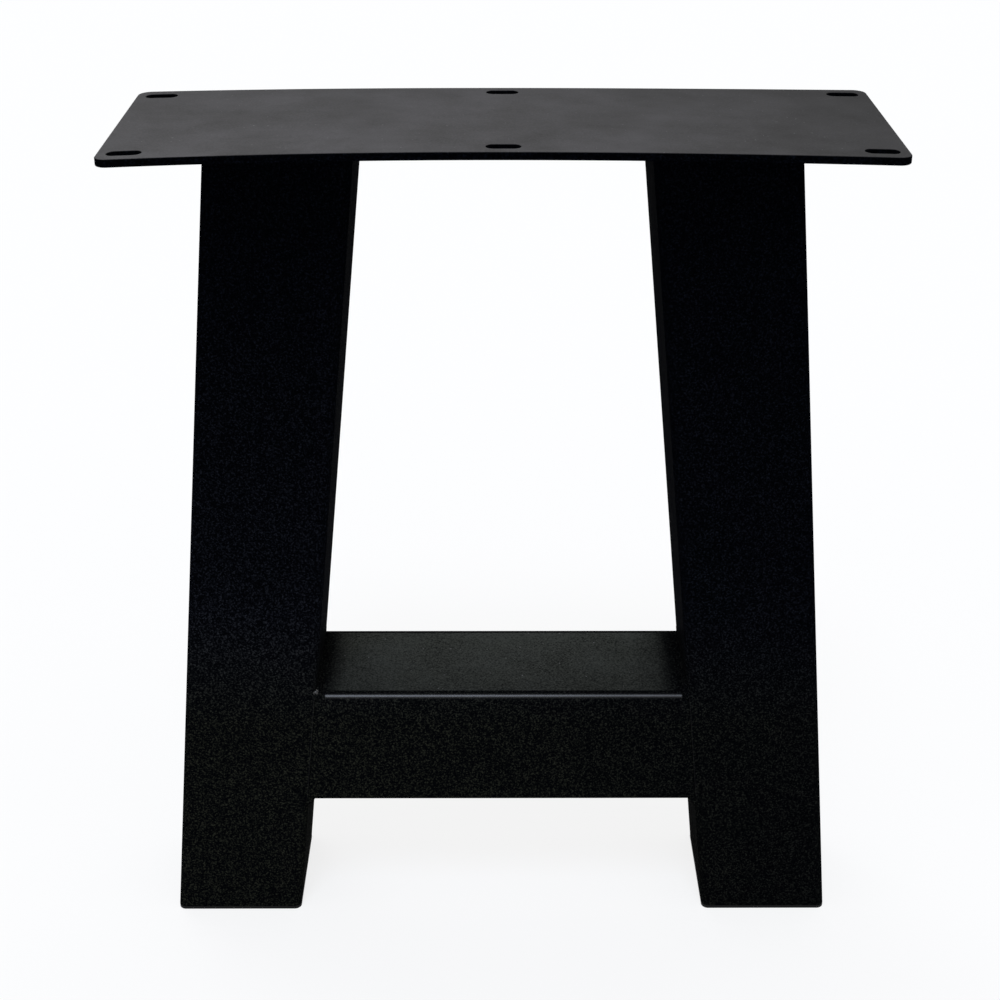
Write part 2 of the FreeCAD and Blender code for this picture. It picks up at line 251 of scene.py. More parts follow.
class Nodes:
    """Makes and links the nodes of one tree."""

    def __init__(self, tree):
        self.tree = tree
        tree.nodes.clear()

    def make(self, kind, settings=None, values=None, output=0):
        """Node of a kind, its settings first, then a value or a Wire for each socket."""
        node = self.tree.nodes.new(kind)
        for name, setting in (settings or {}).items():
            if name == "stops":
                ramp = node.color_ramp.elements
                while len(ramp) > 1:
                    ramp.remove(ramp[-1])
                ramp[0].position, level = setting[0]
                ramp[0].color = (level, level, level, 1)
                for position, level in setting[1:]:
                    ramp.new(position).color = (level, level, level, 1)
            else:
                setattr(node, name, setting)
        for name, value in (values or {}).items():
            if isinstance(value, Wire):
                self.tree.links.new(value.socket, node.inputs[name])
            else:
                node.inputs[name].default_value = value
        return Wire(self, node.outputs[output]) if node.outputs else node

    def noise(self, where, scale, detail=2, rough=0.5):
        """Noise from 0 to 1 with a scale in waves per metre."""
        return self.make("ShaderNodeTexNoise", {"noise_dimensions": "3D"}, {
            "Vector": where, "Scale": scale, "Detail": detail, "Roughness": rough})

    def ramp(self, value, stops):
        """Grey level that follows stops of position and level."""
        return self.make("ShaderNodeValToRGB", {"stops": stops}, {0: value})

    def mix(self, share, first, second):
        """Colour between two colours."""
        return self.make("ShaderNodeMix", {"data_type": "RGBA"},
                         {0: share, 6: first, 7: second}, output=2)


def rgba(colour):
    return (*colour, 1)


def new_material(name):
    """Material with an empty tree, and the maker of its nodes."""
    material = bpy.data.materials.new(name)
    material.use_nodes = True
    return material, Nodes(material.node_tree)


def surface(nodes, values):
    """Principled surface that ends a material's tree."""
    shader = nodes.make("ShaderNodeBsdfPrincipled", {}, values)
    nodes.make("ShaderNodeOutputMaterial", {}, {"Surface": shader})


# ---------------------------------------------------------------- materials

# How light a grain is, by its height.
GRAIN_LIGHT = [(0.0, 0), (0.43, 0), (0.53, 0.10), (0.61, 0.43), (0.70, 0.85)]
# How much lighter a light grain is than the coat.
GRAIN_LIFT = 8
# How much painted light the coat has, paler towards the feet and none up under the plate, which is
# left dark as painted shade, and how far that painted light turns blue, by the height above the
# floor.
PAINTED_LIGHT_SHARE = [(0.0, 1.0), (0.22, 0.92), (0.34, 0.36), (0.62, 0.0)]
PAINTED_LIGHT_BLUE = [(0.0, 0), (0.20, 0), (0.31, 1)]
# Where dust and painted sheen lie, on faces that look up, and where such a face has a sheen of
# gloss, by how far up it looks.
LEVEL_ENOUGH = [(0.0, 0), (0.955, 0), (0.992, 1)]
SHEEN_SHARE = [(0.0, 0), (0.55, 0), (0.85, 1)]
# Waves per metre of the coat's unevenness: patches, wiping marks, melted powder and specks.
PATCH_WAVES, WIPED_WAVES, PEEL_WAVES, SPECK_WAVES = 16, 22, 140, 420
SPECK_COLOUR = (0.18, 0.18, 0.18, 1)
# Stops of the share of dust and painted sheen from the plate's left end to its right end, lighter
# on the left as painted light, then how cloudy and how grainy it lies.
PLATE_DUST_AND_PAINTED_SHEEN = (((0.0, 0.67), (0.34, 0.617), (0.5, 0.59), (0.71, 0.466), (0.87, 0.336), (1.0, 0.27)),
              1.2, 1.1)
# The same for the crossbar's top: dust and painted sheen, with one share all along.
BAR_DUST_AND_PAINTED_SHEEN = ((0.0, 0.65), (1.0, 0.65)), 1.1, 3.6


def grained(nodes, place, finish, low, high):
    """Colour of the coat's fine texture between two colours, and the texture's height."""
    grain = nodes.noise(place, 1 / finish.grain_size, detail=3, rough=0.62)
    return nodes.mix(nodes.ramp(grain, GRAIN_LIGHT), low, high), grain


def powder_coat(name, finish, dust_and_sheen_colour, spread, ior, rough, flow=0.02 * MM, sheen=0.0):
    """Fine-textured matt black powder coat, with handling marks, fine dust and a painted sheen on
    top, and painted light towards the feet.

    spread is PLATE_DUST_AND_PAINTED_SHEEN or BAR_DUST_AND_PAINTED_SHEEN, flow the height of the
    soft waves that the melting powder leaves, and sheen the gloss of the faces that look up.
    """
    material, nodes = new_material(name)
    place = nodes.make("ShaderNodeTexCoord", output="Object")
    up = nodes.make("ShaderNodeSeparateXYZ", {}, {
        0: nodes.make("ShaderNodeTexCoord", output="Normal")}, output="Z")
    above_floor = nodes.make("ShaderNodeSeparateXYZ", {}, {0: place}, output="Z")
    across = nodes.make("ShaderNodeSeparateXYZ", {}, {0: place}, output="X")
    peel = nodes.noise(place, PEEL_WAVES, detail=2)
    patches = nodes.noise(place, PATCH_WAVES, detail=4, rough=0.6)
    wiped = nodes.noise(
        nodes.make("ShaderNodeMapping", {}, {
            "Vector": place, "Rotation": (0, 0, 0.35), "Scale": (1.0, 3.0, 1.0)}),
        WIPED_WAVES, detail=5, rough=0.62)
    specks = nodes.ramp(
        nodes.noise(place, SPECK_WAVES, detail=1), [(0.0, 0), (0.76, 0), (0.80, 1)])
    rubbed = nodes.make("ShaderNodeAttribute", {"attribute_name": "rubbed"}, output="Fac")
    dusty = nodes.make("ShaderNodeAttribute", {"attribute_name": "dusty"}, output="Fac")

    coat, grain = grained(nodes, place, finish, rgba(finish.coat_colour),
                          rgba([GRAIN_LIFT * c for c in finish.coat_colour]))
    # Painted light and shade: the coat is paler towards the feet and stays dark up under the plate,
    # paler on the left than on the right, and the pale grains turn bluer above the crossbar.
    painted_light = nodes.mix(nodes.ramp(above_floor, PAINTED_LIGHT_BLUE),
                       rgba(finish.low_painted_light_colour), rgba(finish.high_painted_light_colour))
    painted_lit_coat, _ = grained(nodes, place, finish, rgba([2 * c for c in finish.coat_colour]), painted_light)
    coat = nodes.mix(nodes.ramp(above_floor, PAINTED_LIGHT_SHARE)
                     * (0.7 + patches * 0.6 - across * 1.8), coat, painted_lit_coat)
    # Dust and painted sheen lie on faces that look up, as far as the share on the mesh says; that
    # share also holds painted light and painted shade.
    dust_and_sheen_mask = nodes.ramp(up, LEVEL_ENOUGH) * dusty
    stops, cloudy, grainy = spread
    mottle = ((patches - 0.5) + (wiped - 0.5) * 0.35) * cloudy + (grain - 0.5) * grainy
    cover = dust_and_sheen_mask * nodes.ramp(across / PLATE_LENGTH + 0.5, stops) * (mottle + 1)
    # The dust colour is also the painted sheen of the top faces.
    dust = nodes.mix(patches, rgba(dust_and_sheen_colour),
                     rgba([dust_and_sheen_colour[0] * 0.97, dust_and_sheen_colour[1] * 0.97, dust_and_sheen_colour[2] * 1.12]))
    colour = nodes.mix(cover, coat, dust)
    colour = nodes.mix(specks * dust_and_sheen_mask * 0.6, colour, SPECK_COLOUR)
    roughness = (rough + (patches - 0.5) * 0.20 + (grain - 0.5) * 0.16
                 + (wiped - 0.5) * 0.16 - rubbed * 0.07)
    gloss = (rubbed * (0.97 - across * 0.8 + (wiped - 0.5) * 0.5) * finish.rubbed_gloss
             + nodes.ramp(up, SHEEN_SHARE) * (0.75 + patches * 0.5) * sheen)
    height = grain * finish.grain_height + peel * flow + patches * 0.10 * MM
    bump = nodes.make("ShaderNodeBump", {}, {"Height": height, "Distance": 1.0, "Strength": 1.0})
    surface(nodes, {
        "Base Color": colour, "Roughness": roughness, "IOR": ior, "Normal": bump,
        "Coat Weight": gloss, "Coat Roughness": 0.36, "Coat IOR": 1.5,
    })
    return material


def moulded_plastic(name, finish):
    """Matt black plastic with a spark-eroded mould's grain and scuffs near the floor."""
    material, nodes = new_material(name)
    place = nodes.make("ShaderNodeTexCoord", output="Object")
    grain = nodes.noise(place, 2600, detail=2)
    flow = nodes.noise(place, 35, detail=3)
    scuffs = nodes.ramp(
        nodes.noise(nodes.make("ShaderNodeMapping", {}, {
            "Vector": place, "Scale": (1.0, 1.0, 9.0)}), 90, detail=4, rough=0.65),
        [(0.0, 0), (0.56, 0), (0.70, 1)])
    colour = nodes.mix(scuffs * 0.5, rgba(finish.plastic_colour), (0.016, 0.016, 0.015, 1))
    roughness = 0.58 + (grain - 0.5) * 0.14 + (flow - 0.5) * 0.10 - scuffs * 0.06
    height = grain * 0.02 * MM + scuffs * 0.02 * MM
    bump = nodes.make("ShaderNodeBump", {}, {"Height": height, "Distance": 1.0, "Strength": 1.0})
    surface(nodes, {"Base Color": colour, "Roughness": roughness, "IOR": 1.2, "Normal": bump})
    return material


def seen_directly(nodes):
    """1 for what the camera sees, straight or in gloss or glass, and 0 for light that falls."""
    rays = nodes.make("ShaderNodeLightPath", output="Is Camera Ray")
    seen = rays
    for kind in ("Is Glossy Ray", "Is Transmission Ray"):
        seen = seen + Wire(nodes, rays.socket.node.outputs[kind])
    return nodes.make("ShaderNodeMath", {"operation": "MINIMUM"}, {0: seen, 1: 1.0})


def studio_floor(name, colour, whiteness):
    """Pale seamless floor, matt, with a hardly visible unevenness."""
    material, nodes = new_material(name)
    place = nodes.make("ShaderNodeTexCoord", output="Object")
    cloud = nodes.noise(place, 1.3, detail=3)
    shade = nodes.mix(cloud * 0.4, rgba(colour), rgba([0.985 * c for c in colour]))
    paper = nodes.make("ShaderNodeBsdfDiffuse", {}, {"Color": shade})
    white = nodes.make("ShaderNodeEmission", {}, {"Color": (1, 1, 1, 1), "Strength": 1.0})
    mixed = nodes.make("ShaderNodeMixShader", {}, {
        0: seen_directly(nodes) * whiteness, 1: paper, 2: white})
    nodes.make("ShaderNodeOutputMaterial", {}, {"Surface": mixed})
    return material


# ---------------------------------------------------------------- meshes

def finish_piece(piece, node, body="root"):
    """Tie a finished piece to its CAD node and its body."""
    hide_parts(node)
    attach(piece, body)


def add_object(name, mesh, material=None):
    piece = bpy.data.objects.new(name, mesh)
    bpy.context.scene.collection.objects.link(piece)
    if material is not None:
        mesh.materials.append(material)
    return piece


def made_plain(piece):
    """Turn the result of a piece's modifiers into its plain mesh."""
    evaluated = piece.evaluated_get(bpy.context.evaluated_depsgraph_get())
    mesh = bpy.data.meshes.new_from_object(evaluated)
    piece.modifiers.clear()
    old, piece.data = piece.data, mesh
    bpy.data.meshes.remove(old)
    mesh.name = piece.name


def rounded_section(width, depth, radius, steps):
    """Points of a rounded rectangle, counter-clockwise, each with its outward normal."""
    points = []
    for turn, (side_x, side_y) in enumerate(((1, 1), (-1, 1), (-1, -1), (1, -1))):
        middle = Vector((side_x * (width / 2 - radius), side_y * (depth / 2 - radius)))
        for step in range(steps + 1):
            angle = math.pi / 2 * (turn + step / steps)
            out = Vector((math.cos(angle), math.sin(angle)))
            point = middle + radius * out
            if not points or (point - points[-1][0]).length > 0.001 * MM:
                points.append((point, out))
    if (points[0][0] - points[-1][0]).length < 0.001 * MM:
        points.pop()
    return points


def tube_mesh(name, outer_rings, inner_rings, normals, marks):
    """Hollow tube from rings of points outside and two rings inside.

    normals holds the outward directions of one ring, and marks the named values of
    the outer points.
    """
    count = len(normals)
    mesh = bpy.data.meshes.new(name)
    points = [p for ring in (*outer_rings, *inner_rings) for p in ring]
    bore = len(outer_rings) * count
    faces, corner_normals = [], []
    for base, sign in [(ring * count, 1) for ring in range(len(outer_rings) - 1)] + [(bore, -1)]:
        for index in range(count):
            after = (index + 1) % count
            low_a, low_b = base + index, base + after
            high_a, high_b = low_a + count, low_b + count
            face = (low_a, low_b, high_b, high_a)
            turn = (index, after, after, index)
            if sign < 0:
                face, turn = face[::-1], turn[::-1]
            faces.append(face)
            corner_normals += [sign * normals[t] for t in turn]
    for outside, inside, flip in ((0, bore, True), (bore - count, bore + count, False)):
        for index in range(count):
            after = (index + 1) % count
            face = (outside + index, outside + after, inside + after, inside + index)
            if flip:
                face = face[::-1]
            faces.append(face)
            a, b, c = (points[i] for i in face[:3])
            flat = (b - a).cross(c - b).normalized()
            corner_normals += [flat] * 4
    mesh.from_pydata(points, [], faces)
    mesh.polygons.foreach_set("use_smooth", [True] * len(faces))
    mesh.normals_split_custom_set(corner_normals)
    for mark, values in marks.items():
        mesh.attributes.new(mark, "FLOAT", "POINT").data.foreach_set(
            "value", [*values, *([0.0] * (len(points) - len(values)))])
    return mesh


# The welds pull the plate unevenly: a level share, and one that grows along X and Y.
PULL = (0.915, -0.205, -0.315)


def plate_drop(x, y, bow):
    """How far the bowed plate lies under the flat one."""
    share = x / PLATE_HIGH.x
    return bow * share ** 2 * (PULL[0] + PULL[1] * share + PULL[2] * y / PLATE_HIGH.y)


def leg_mesh(name, side, form):
    """Leaning tube: its foot is level, and its head follows the bowed plate."""
    outer = rounded_section(TUBE, TUBE, TUBE_CORNER, form.corner_steps)
    bore = TUBE - 2 * WALL
    inner = rounded_section(bore, bore, BORE_CORNER, form.corner_steps)

    def ring(section, level, under_plate):
        points = []
        for point, _ in section:
            z = level
            x = side * leg_middle(z) + point.x / COS_LEAN
            if under_plate:
                z = level - plate_drop(x, point.y, form.plate_bow)
                x = side * leg_middle(z) + point.x / COS_LEAN
            points.append(Vector((x, point.y, z)))
        return points

    across = Vector((COS_LEAN, 0, side * SIN_LEAN))
    normals = [out.x * across + Vector((0, out.y, 0)) for _, out in outer]
    return tube_mesh(name, [ring(outer, LEG_LOW.z, False), ring(outer, LEG_HIGH.z, True)],
                     [ring(inner, LEG_LOW.z, False), ring(inner, LEG_HIGH.z, True)],
                     normals, {})


# Lines along the crossbar's top face, between whose outer and inner pair the dust and painted sheen
# end, short of the rounded edge.
DUST_AND_SHEEN_LINES = (0.0480, 0.0465, -0.0465, -0.0480)
# The side, the distance from the leg in mm, how rubbed the crossbar is there, and its share of dust
# and painted sheen there, which falls to none near the legs as painted shade.
BAR_WEAR_AND_SHADE = (
    (-1, 0, 0, 0), (-1, 7.6, 0, 0.08), (-1, 8.6, 1, 0.12), (-1, 16, 1, 0.58),
    (-1, 24, 1, 1), (1, 45, 1, 0.97), (1, 22, 1, 0.64), (1, 17, 1, 0.33),
    (1, 12, 1, 0.07), (1, 5.8, 1, 0), (1, 4.8, 0, 0), (1, 0, 0, 0))


def bar_section(width, radius, steps):
    """Points of the crossbar's square section, with those of the lines on top where the dust and
    painted sheen end.
    """
    section = rounded_section(width, width, radius, steps)
    section[steps + 1:steps + 1] = [(Vector((y, width / 2)), Vector((0, 1))) for y in DUST_AND_SHEEN_LINES]
    return section


def bar_mesh(name, form):
    """Level tube whose ends are sawn to the legs' inner faces; its upper edges are rubbed."""
    outer = bar_section(TUBE, TUBE_CORNER, form.corner_steps)
    inner = bar_section(TUBE - 2 * WALL, BORE_CORNER, form.corner_steps)
    middle = (BAR_LOW.z + BAR_HIGH.z) / 2

    def ring(section, side, inset=0.0):
        points = []
        for point, _ in section:
            z = middle + point.y
            points.append(Vector((side * (leg_inside(z) - inset), point.x, z)))
        return points

    rings, marks = [], {"rubbed": [], "dusty": []}
    edge = [max(0.0, 2 * abs(out.x) * out.y) ** 7 * (1 + 0.9 * (out.y - abs(out.x)))
            for _, out in outer]
    for side, inset, worn, dusty in BAR_WEAR_AND_SHADE:
        rings.append(ring(outer, side, inset * MM))
        marks["rubbed"] += [worn * share for share in edge]
        # The share of dust and painted sheen grows towards the back of the top face, as painted
        # light.
        marks["dusty"] += [
            dusty * (0.0 if abs(point.x) > DUST_AND_SHEEN_LINES[1] + 0.5 * MM else 1.05 + 5.5 * point.x)
            for point, _ in outer]
    normals = [Vector((0, out.x, out.y)) for _, out in outer]
    return tube_mesh(name, rings, [ring(inner, -1), ring(inner, 1)], normals, marks)


def seam_fill(side, front):
    """Ground weld over a leg's rounded edge, beside one end of the crossbar.

    It is given as points, faces and how rubbed each point is. front is -1 for the front
    and 1 for the back. A thin groove runs beside the crossbar, with a lit edge.
    """
    cover, sunk, groove, deep = 4.9 * MM, 0.4 * MM, 0.9 * MM, 0.8 * MM
    low, high = BAR_LOW.z - 4.0 * MM, BAR_HIGH.z + 4.5 * MM
    stations, arc_steps = 60, 6
    points, faces, rubbed = [], [], []
    for station in range(stations + 1):
        z = low + (high - low) * station / stations
        to_end = min(z - low, high - z) / (3.0 * MM)
        dive = 2.6 * MM * (1 - min(1.0, to_end)) ** 2
        wave = math.sin(z * 2100 + side) + math.sin(z * 970 + 2 * side)
        recess = 0.07 * MM + 0.02 * MM * wave + dive
        section = [(0.05 * MM, deep + recess), (groove, recess),
                   (groove + 1.1 * MM, recess), (cover, recess)]
        for step in range(arc_steps + 1):
            reach = cover * (1 - step / arc_steps)
            depth = TUBE_CORNER - math.sqrt(TUBE_CORNER ** 2 - (TUBE_CORNER - reach) ** 2)
            section.append((max(reach, 0.05 * MM), max(depth, recess) + sunk))
        for reach, depth in section:
            points.append(Vector((side * (leg_inside(z) + reach / COS_LEAN),
                                  front * (TUBE / 2 - depth), z)))
            rubbed.append(0.14 if reach == groove else 0.0)
    count = len(points) // (stations + 1)
    for station in range(stations):
        for index in range(count):
            after = (index + 1) % count
            a, b = station * count + index, station * count + after
            faces.append((a, b, b + count, a + count))
    faces.append(tuple(range(count))[::-1])
    faces.append(tuple(range(stations * count, (stations + 1) * count)))
    if side * front > 0:
        faces = [face[::-1] for face in faces]
    return points, faces, rubbed


# The bright nub where the bead ends in front, at the left joint.
NUB_RADIUS = 2.7 * MM
NUB_GLOSS = 1.1


def drop_of_weld(centre, radius):
    """Small round end of a bead, as points, faces and how rubbed each point is."""
    around, up = 20, 10
    points = [centre + Vector((0, 0, -radius))]
    for level in range(1, up):
        tilt = math.pi * (level / up - 0.5)
        for step in range(around):
            turn = 2 * math.pi * step / around
            points.append(centre + radius * Vector((
                math.cos(tilt) * math.cos(turn), math.cos(tilt) * math.sin(turn),
                math.sin(tilt))))
    points.append(centre + Vector((0, 0, radius)))
    faces = []
    for step in range(around):
        after = (step + 1) % around
        faces.append((0, 1 + after, 1 + step))
        for level in range(up - 2):
            a, b = 1 + level * around + step, 1 + level * around + after
            faces.append((a, b, b + around, a + around))
        last = 1 + (up - 2) * around
        faces.append((last + step, last + after, len(points) - 1))
    return points, faces, [NUB_GLOSS] * len(points)


def plate_mesh(name, form):
    """Flat plate with slots and rounded edges, cut across so that it can bow."""
    steps, edge = 12, form.plate_edge
    outline = rounded_section(PLATE_LENGTH, PLATE_WIDTH, PLATE_CORNER, steps)
    loops = [(outline, Vector((0, 0)), 1)]
    slot = rounded_section(SLOT_LENGTH, SLOT_WIDTH, SLOT_WIDTH / 2, steps)
    loops += [(slot, Vector((x, y)), -1) for x in SLOT_X for y in SLOT_Y]
    profile = []
    bends = 4
    for step in range(bends + 1):
        angle = math.pi / 2 * step / bends
        profile.append((edge * (1 - math.sin(angle)), PLATE_LOW.z + edge * (1 - math.cos(angle))))
    profile += [(inset, PLATE_LOW.z + PLATE_HIGH.z - z) for inset, z in reversed(profile)]

    work = bmesh.new()
    rims = {0: [], len(profile) - 1: []}
    for points, centre, sign in loops:
        rings = []
        for inset, z in profile:
            flat = [centre + point - sign * inset * out for point, out in points]
            rings.append([work.verts.new((p.x, p.y, z)) for p in flat])
        for low, high in zip(rings, rings[1:]):
            for index in range(len(low)):
                after = (index + 1) % len(low)
                work.faces.new((low[index], low[after], high[after], high[index])[::sign])
        for level in rims:
            ring = rings[level]
            rims[level] += [work.edges.get((ring[i], ring[(i + 1) % len(ring)]))
                            for i in range(len(ring))]
    for level, rim in rims.items():
        up = Vector((0, 0, 1 if level else -1))
        bmesh.ops.triangle_fill(work, use_beauty=True, edges=rim, normal=up)
    stations = 29
    for step in range(1, stations):
        x = PLATE_LOW.x + PLATE_LENGTH * step / stations
        bmesh.ops.bisect_plane(
            work, geom=[*work.verts, *work.edges, *work.faces], dist=0.001 * MM,
            plane_co=(x, 0, 0), plane_no=(1, 0, 0))
    bmesh.ops.recalc_face_normals(work, faces=work.faces)
    for face in work.faces:
        face.smooth = True
    mesh = bpy.data.meshes.new(name)
    work.to_mesh(mesh)
    work.free()
    # The upper rounding, of the outline and the slots, is rubbed a little.
    low, high = PLATE_HIGH.z - edge / 2, PLATE_HIGH.z - 0.02 * MM
    # The share of dust and painted sheen grows towards the front of the plate, as painted light.
    marks = {"dusty": [1.06 - 1.9 * v.co.y for v in mesh.vertices],
             "rubbed": [0.10 * (low < v.co.z < high) for v in mesh.vertices]}
    for mark, values in marks.items():
        mesh.attributes.new(mark, "FLOAT", "POINT").data.foreach_set("value", values)
    return mesh


# Angle between faces from which an edge of the caps looks sharp.
CREASE = math.radians(35)


def cap_mesh(name, cap, side, form):
    """Copy of a foot cap's mesh whose lower edge is rounded less."""
    work = bmesh.new()
    work.from_mesh(cap.data)
    bmesh.ops.remove_doubles(work, verts=work.verts, dist=0.001 * MM)
    centre = Vector((side * leg_middle(LEG_LOW.z), 0))
    straight = Vector((TUBE / 2 / COS_LEAN - TUBE_CORNER, TUBE / 2 - TUBE_CORNER))
    less = form.cap_edge / CAP_ROUNDING
    for vert in work.verts:
        if vert.co.z < CAP_ROUNDING - 0.01 * MM:
            from_centre = vert.co.xy - centre
            past = Vector([math.copysign(max(0.0, abs(a) - b), a)
                           for a, b in zip(from_centre, straight)])
            if past.length > 0:
                vert.co.xy += past.normalized() * (TUBE_CORNER - past.length) * (1 - less)
            vert.co.z *= less
    mesh = bpy.data.meshes.new(name)
    work.to_mesh(mesh)
    work.free()
    old_normals = mesh.attributes.get("custom_normal")
    if old_normals is not None:
        mesh.attributes.remove(old_normals)
    mesh.materials.clear()
    mesh.polygons.foreach_set("use_smooth", [True] * len(mesh.polygons))
    mesh.set_sharp_from_angle(angle=CREASE)
    return mesh


# ---------------------------------------------------------------- geometry nodes

def geometry_tree(name, inputs):
    """Geometry node tree with named inputs, and the maker of its nodes."""
    tree = bpy.data.node_groups.new(name, "GeometryNodeTree")
    tree.interface.new_socket("Geometry", in_out="OUTPUT", socket_type="NodeSocketGeometry")
    tree.interface.new_socket("Geometry", in_out="INPUT", socket_type="NodeSocketGeometry")
    for label, kind in inputs:
        tree.interface.new_socket(label, in_out="INPUT", socket_type=kind)
    nodes = Nodes(tree)
    group = tree.nodes.new("NodeGroupInput")
    wires = {socket.name: Wire(nodes, socket) for socket in group.outputs if socket.name}
    return tree, nodes, wires


def end_tree(nodes, geometry, material):
    """Realize the instances, set the material and end the tree."""
    real = nodes.make("GeometryNodeRealizeInstances", {}, {"Geometry": geometry})
    coated = nodes.make("GeometryNodeSetMaterial", {}, {"Geometry": real, "Material": material})
    nodes.make("NodeGroupOutput", {}, {"Geometry": coated})


def run_tree(piece, tree, values):
    """Put a tree on a piece with its named inputs set, and keep the result as a plain mesh."""
    modifier = piece.modifiers.new(tree.name, "NODES")
    modifier.node_group = tree
    for item in tree.interface.items_tree:
        if item.item_type == "SOCKET" and item.in_out == "INPUT" and item.name in values:
            modifier[item.identifier] = values[item.name]
    made_plain(piece)


def bowed(nodes, geometry, bow, half_length):
    """Geometry lowered by the plate's bow, as plate_drop gives it."""
    place = nodes.make("GeometryNodeInputPosition")
    x, y = (nodes.make("ShaderNodeSeparateXYZ", {}, {0: place}, output=axis) for axis in "XY")
    share = x / half_length
    pull = PULL[0] + share * PULL[1] + y * (PULL[2] / PLATE_HIGH.y)
    offset = nodes.make("ShaderNodeCombineXYZ", {}, {"Z": share * share * bow * pull * -1})
    return nodes.make("GeometryNodeSetPosition", {}, {"Geometry": geometry, "Offset": offset})


def bow_tree():
    tree, nodes, wires = geometry_tree("plate_bow", [
        ("Bow", "NodeSocketFloat"), ("Half Length", "NodeSocketFloat"),
        ("Material", "NodeSocketMaterial")])
    shape = bowed(nodes, wires["Geometry"], wires["Bow"], wires["Half Length"])
    end_tree(nodes, shape, wires["Material"])
    return tree


def bead_tree():
    """Sweeps a bead with ripples along the edges marked path, with the outline marked profile.

    Faces in the mesh pass through unchanged.
    """
    tree, nodes, wires = geometry_tree("weld_bead", [
        ("Ripple Pitch", "NodeSocketFloat"), ("Ripple Depth", "NodeSocketFloat"),
        ("Bow", "NodeSocketFloat"), ("Half Length", "NodeSocketFloat"), ("Seed", "NodeSocketFloat"),
        ("Material", "NodeSocketMaterial")])

    def marked(name):
        flag = nodes.make("GeometryNodeInputNamedAttribute", {"data_type": "FLOAT"},
                          {"Name": name})
        return nodes.make("GeometryNodeSeparateGeometry", {"domain": "POINT"},
                          {"Geometry": wires["Geometry"], "Selection": flag})

    path = nodes.make("GeometryNodeMeshToCurve", {}, {"Mesh": marked("path")})
    profile = nodes.make("GeometryNodeMeshToCurve", {}, {"Mesh": marked("profile")})
    fine = nodes.make("GeometryNodeResampleCurve", {"mode": "LENGTH"},
                      {"Curve": path, "Length": wires["Ripple Pitch"] / 7})
    facing = nodes.make("GeometryNodeInputNamedAttribute", {"data_type": "FLOAT_VECTOR"},
                        {"Name": "facing"})
    upright = nodes.make("GeometryNodeSetCurveNormal", {"mode": "FREE"},
                         {"Curve": fine, "Normal": facing})
    width = nodes.make("GeometryNodeInputNamedAttribute", {"data_type": "FLOAT"},
                       {"Name": "width"})
    along = nodes.make("GeometryNodeSplineParameter", output="Length")
    drift = nodes.make("ShaderNodeTexNoise", {"noise_dimensions": "1D"}, {
        "W": along * 90 + wires["Seed"], "Detail": 2})
    wave = nodes.make("ShaderNodeMath", {"operation": "SINE"}, {
        0: (along / wires["Ripple Pitch"] + drift * 0.9) * math.pi})
    crest = abs(wave) ** 0.7
    size = 1 - wires["Ripple Depth"] * (1 - crest) + (drift - 0.5) * 0.30
    swept = nodes.make("GeometryNodeCurveToMesh", {}, {
        "Curve": upright, "Profile Curve": profile, "Scale": size * width})
    smooth = nodes.make("GeometryNodeSetShadeSmooth", {}, {"Geometry": swept})
    solid = marked("solid")
    both = nodes.make("GeometryNodeJoinGeometry", {}, {"Geometry": smooth})
    nodes.tree.links.new(solid.socket, both.socket.node.inputs["Geometry"])
    shape = bowed(nodes, both, wires["Bow"], wires["Half Length"])
    end_tree(nodes, shape, wires["Material"])
    return tree


# ---------------------------------------------------------------- operators

class TRESTLE_OT_top_plate(bpy.types.Operator):
    """Build the slotted plate, with rounded edges and the bow that welding gives it"""
    bl_idname = "trestle.top_plate"
    bl_label = "Top Plate"

    def execute(self, context):
        form = context.scene.trestle_form
        finish = context.scene.trestle_finish
        coat = powder_coat("plate_coat", finish, finish.plate_dust_and_painted_sheen, PLATE_DUST_AND_PAINTED_SHEEN, 1.012,
                           finish.coat_roughness, sheen=0.20)
        piece = add_object("plate", plate_mesh("plate", form))
        run_tree(piece, bow_tree(), {
            "Bow": form.plate_bow, "Half Length": PLATE_HIGH.x, "Material": coat})
        evener = piece.modifiers.new("even_shading", "WEIGHTED_NORMAL")
        evener.weight = 100
        evener.thresh = 0.001
        made_plain(piece)
        finish_piece(piece, "top_plate")
        return {"FINISHED"}


class TRESTLE_OT_tubes(bpy.types.Operator):
    """Build the two legs and the crossbar as hollow square tubes"""
    bl_idname = "trestle.tubes"
    bl_label = "Tubes"

    def execute(self, context):
        form = context.scene.trestle_form
        finish = context.scene.trestle_finish
        coat = powder_coat("tube_coat", finish, finish.bar_dust_and_painted_sheen, BAR_DUST_AND_PAINTED_SHEEN, 1.006,
                           finish.coat_roughness + 0.2)
        for word, side in SIDES.items():
            piece = add_object(word + "_leg", leg_mesh(word + "_leg", side, form), coat)
            finish_piece(piece, word + "_leg_tube")
        piece = add_object("crossbar", bar_mesh("crossbar", form), coat)
        finish_piece(piece, "crossbar_tube")
        return {"FINISHED"}


# How deep a bead's corner lies in the steel.
BEAD_ROOT = 0.8 * MM


def bead_profile(width, root):
    """Outline of a convex fillet between two faces, its corner sunk by root."""
    points = [Vector((-root, -root)), Vector((width, -root))]
    rise = 0.18 * width
    steps = 6
    for step in range(steps + 1):
        share = step / steps
        bulge = 0.707 * rise * math.sin(math.pi * share)
        points.append(Vector((width * (1 - share) + bulge, width * share + bulge)))
    points.append(Vector((-root, width)))
    return points


